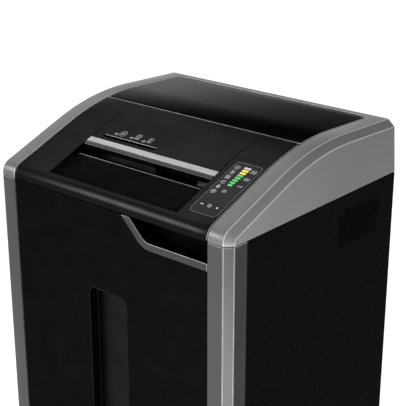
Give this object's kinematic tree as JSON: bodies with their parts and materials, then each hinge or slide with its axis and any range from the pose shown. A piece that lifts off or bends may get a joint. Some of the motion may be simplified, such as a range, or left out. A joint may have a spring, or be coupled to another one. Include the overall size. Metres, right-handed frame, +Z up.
{
  "type": "paper shredder",
  "caption": "Free-standing office paper shredder on casters with a wide feed throat, disc slot, touch panel, hinged rear lid and pull-out waste drawer.",
  "frame": {"origin": "on the floor under the middle of the cabinet", "axes": "+Z up, +X along the front to the viewer's right, +Y from the front to the back"},
  "size_m": [0.56, 0.49, 1.0186],
  "materials": {
    "grey_paint": "satin",
    "gloss_black": "gloss",
    "black_paint": "matte",
    "black_plastic": "matte",
    "bin_plastic": "matte",
    "tank_plastic": "satin",
    "zinc_steel": "zinc plated",
    "bright_steel": "bright",
    "tool_steel": "ground",
    "brushed_aluminium": "brushed",
    "motor_paint": "satin",
    "circuit_board": "satin",
    "green_lamp": "lit",
    "amber_lamp": "lit",
    "white_lamp": "lit",
    "brake_red": "gloss",
    "wheel_rubber": "matte"
  },
  "bodies": {
    "cabinet": {"base_pan": "black_paint", "left_side_panel": "black_paint", "right_side_panel": "black_paint", "rear_panel": "black_paint", "panel_screws": "bright_steel", "left_corner_post": "grey_paint", "right_corner_post": "grey_paint", "rear_uprights": "zinc_steel", "mechanism_tray": "zinc_steel", "outer_rails": "bright_steel", "head_surround": "grey_paint", "front_fascia": "gloss_black", "throat_hood": "gloss_black", "sensor_strip": "brushed_aluminium", "entry_guides": "bright_steel", "control_overlay": "gloss_black", "green_lamps": "green_lamp", "amber_lamps": "amber_lamp", "white_lamps": "white_lamp", "control_board": "circuit_board", "lid_pins": "bright_steel", "oil_tank": "tank_plastic", "oil_cap": "black_plastic", "cutter_frame": "zinc_steel", "cutter_bearings": "bright_steel", "stripper_combs": "zinc_steel", "drive_motor": "motor_paint", "motor_mount": "zinc_steel", "motor_capacitor": "brushed_aluminium", "fan_frame": "black_plastic", "power_entry": "black_plastic", "drawer_sensor": "black_plastic", "caster_plates": "bright_steel"},
    "drawer": {"drawer_front": "gloss_black", "handle_cup": "gloss_black", "drawer_trim": "grey_paint", "waste_bin": "bin_plastic", "drawer_chassis": "zinc_steel", "inner_rails": "bright_steel"},
    "mid_slides": {"mid_rails": "bright_steel"},
    "lid": {"rear_lid": "gloss_black"},
    "front_cutter_shaft": {"front_cutter": "tool_steel", "front_timing_gear": "tool_steel"},
    "rear_cutter_shaft": {"rear_cutter": "tool_steel", "rear_timing_gear": "tool_steel", "drive_gear": "tool_steel"},
    "idler": {"idler_gear": "tool_steel"},
    "pinion": {"motor_pinion": "tool_steel"},
    "fan": {"fan_rotor": "black_plastic"},
    "rocker": {"switch_rocker": "black_plastic"},
    "front_left_caster": {"front_left_fork": "bright_steel"},
    "front_left_roller": {"front_left_wheel": "wheel_rubber"},
    "left_brake": {"left_brake_pedal": "brake_red"},
    "front_right_caster": {"front_right_fork": "bright_steel"},
    "front_right_roller": {"front_right_wheel": "wheel_rubber"},
    "right_brake": {"right_brake_pedal": "brake_red"},
    "rear_left_caster": {"rear_left_fork": "bright_steel"},
    "rear_left_roller": {"rear_left_wheel": "wheel_rubber"},
    "rear_right_caster": {"rear_right_fork": "bright_steel"},
    "rear_right_roller": {"rear_right_wheel": "wheel_rubber"}
  },
  "joints": [
    {"name": "drawer_slide", "type": "slide", "parent": "cabinet", "child": "drawer", "axis": [0, -1, 0], "range_m": [0, 0.4]},
    {"name": "mid_slide", "type": "slide", "parent": "cabinet", "child": "mid_slides", "axis": [0, -1, 0], "range_m": [0, 0.2]},
    {"name": "lid_hinge", "type": "hinge", "parent": "cabinet", "child": "lid", "pos_m": [0, 0.1856, 1.00887], "axis": [-1, 0, 0], "range_deg": [0, 80]},
    {"name": "rear_cutter_spin", "type": "hinge", "parent": "cabinet", "child": "rear_cutter_shaft", "pos_m": [0, -0.13, 0.865], "axis": [1, 0, 0], "continuous": true},
    {"name": "front_cutter_spin", "type": "hinge", "parent": "cabinet", "child": "front_cutter_shaft", "pos_m": [0, -0.17, 0.865], "axis": [1, 0, 0], "continuous": true},
    {"name": "idler_spin", "type": "hinge", "parent": "cabinet", "child": "idler", "pos_m": [0, -0.06239, 0.88312], "axis": [1, 0, 0], "continuous": true},
    {"name": "pinion_spin", "type": "hinge", "parent": "cabinet", "child": "pinion", "pos_m": [0, -0.01892, 0.89476], "axis": [1, 0, 0], "continuous": true},
    {"name": "fan_spin", "type": "hinge", "parent": "cabinet", "child": "fan", "pos_m": [0, 0.127, 0.846], "axis": [1, 0, 0], "continuous": true},
    {"name": "switch_rock", "type": "hinge", "parent": "cabinet", "child": "rocker", "pos_m": [-0.15, 0.2385, 0.85], "axis": [1, 0, 0], "range_deg": [0, 12]},
    {"name": "front_left_swivel", "type": "hinge", "parent": "cabinet", "child": "front_left_caster", "pos_m": [-0.205, -0.175, 0.066], "axis": [0, 0, 1], "continuous": true},
    {"name": "front_left_roll", "type": "hinge", "parent": "front_left_caster", "child": "front_left_roller", "pos_m": [-0.205, -0.153, 0.03], "axis": [1, 0, 0], "continuous": true},
    {"name": "left_brake_pedal_tilt", "type": "hinge", "parent": "front_left_caster", "child": "left_brake", "pos_m": [-0.205, -0.145, 0.0655], "axis": [1, 0, 0], "range_deg": [0, 14]},
    {"name": "front_right_swivel", "type": "hinge", "parent": "cabinet", "child": "front_right_caster", "pos_m": [0.205, -0.175, 0.066], "axis": [0, 0, 1], "continuous": true},
    {"name": "front_right_roll", "type": "hinge", "parent": "front_right_caster", "child": "front_right_roller", "pos_m": [0.205, -0.153, 0.03], "axis": [1, 0, 0], "continuous": true},
    {"name": "right_brake_pedal_tilt", "type": "hinge", "parent": "front_right_caster", "child": "right_brake", "pos_m": [0.205, -0.145, 0.0655], "axis": [1, 0, 0], "range_deg": [0, 14]},
    {"name": "rear_left_swivel", "type": "hinge", "parent": "cabinet", "child": "rear_left_caster", "pos_m": [-0.205, 0.153, 0.066], "axis": [0, 0, 1], "continuous": true},
    {"name": "rear_left_roll", "type": "hinge", "parent": "rear_left_caster", "child": "rear_left_roller", "pos_m": [-0.205, 0.175, 0.03], "axis": [1, 0, 0], "continuous": true},
    {"name": "rear_right_swivel", "type": "hinge", "parent": "cabinet", "child": "rear_right_caster", "pos_m": [0.205, 0.153, 0.066], "axis": [0, 0, 1], "continuous": true},
    {"name": "rear_right_roll", "type": "hinge", "parent": "rear_right_caster", "child": "rear_right_roller", "pos_m": [0.205, 0.175, 0.03], "axis": [1, 0, 0], "continuous": true}
  ],
  "couplings": [
    {"joint": "mid_slide", "follows": "drawer_slide", "ratio": 0.5},
    {"joint": "front_cutter_spin", "follows": "rear_cutter_spin", "ratio": -1},
    {"joint": "idler_spin", "follows": "rear_cutter_spin", "ratio": -1.5455},
    {"joint": "pinion_spin", "follows": "rear_cutter_spin", "ratio": 2.4286}
  ]
}
